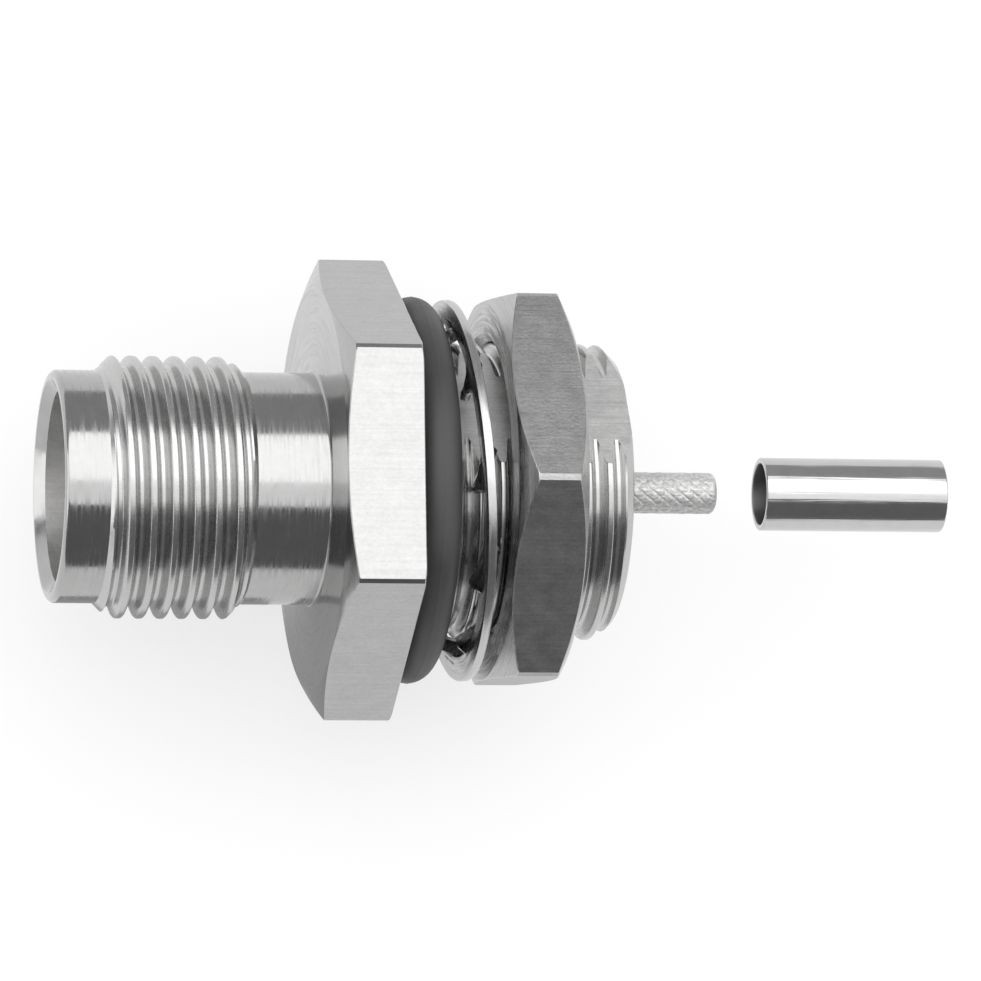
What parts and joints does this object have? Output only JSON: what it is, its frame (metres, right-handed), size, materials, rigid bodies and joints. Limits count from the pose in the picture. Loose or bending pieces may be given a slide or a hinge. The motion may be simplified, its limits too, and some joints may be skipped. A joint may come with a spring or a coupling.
{
  "type": "threaded coaxial bulkhead jack with crimp ferrule",
  "caption": "Threaded coaxial bulkhead jack with hex flange, sealing ring, tooth lock washer, hex nut, knurled crimp stem and separate ferrule.",
  "frame": {"origin": "on the connector's axis, in the plane of the flange's panel face", "axes": "+X along the axis towards the cable end, the mouth faces -X; +Z is normal to one flat of the flange, so the part lies on a table as it would rest"},
  "size_m": [0.0384, 0.0196, 0.0184],
  "materials": {
    "nickel_plate": "bright nickel plate over turned brass",
    "dielectric": "waxy white fluoropolymer",
    "gold_plate": "gold plate over spring bronze",
    "stem_plate": "nickel plate, knurled stem",
    "seal_rubber": "matt dark rubber",
    "washer_plate": "bright nickel plate over spring steel",
    "nut_plate": "nickel plate with matt milled flats",
    "ferrule_plate": "bright nickel plate over soft copper tube"
  },
  "bodies": {
    "jack": {"connector_body": "nickel_plate", "front_insulator": "dielectric", "rear_insulator": "dielectric", "centre_contact": "gold_plate", "crimp_stem": "stem_plate", "sealing_ring": "seal_rubber"},
    "washer": {"lock_washer": "washer_plate"},
    "nut": {"hex_nut": "nut_plate"},
    "ferrule": {"crimp_ferrule": "ferrule_plate"}
  },
  "joints": [
    {"name": "washer_slide", "type": "slide", "parent": "jack", "child": "washer", "axis": [1, 0, 0], "range_m": [0, 0.0023]},
    {"name": "nut_turn", "type": "hinge", "parent": "washer", "child": "nut", "pos_m": [0.0055, 0, 0], "axis": [1, 0, 0], "range_deg": [-2, 914]},
    {"name": "ferrule_slide", "type": "slide", "parent": "jack", "child": "ferrule", "axis": [1, 0, 0], "range_m": [-0.0065, 0]}
  ],
  "couplings": [
    {"joint": "nut_turn", "follows": "washer_slide", "rad_per_m": 6926.3}
  ]
}
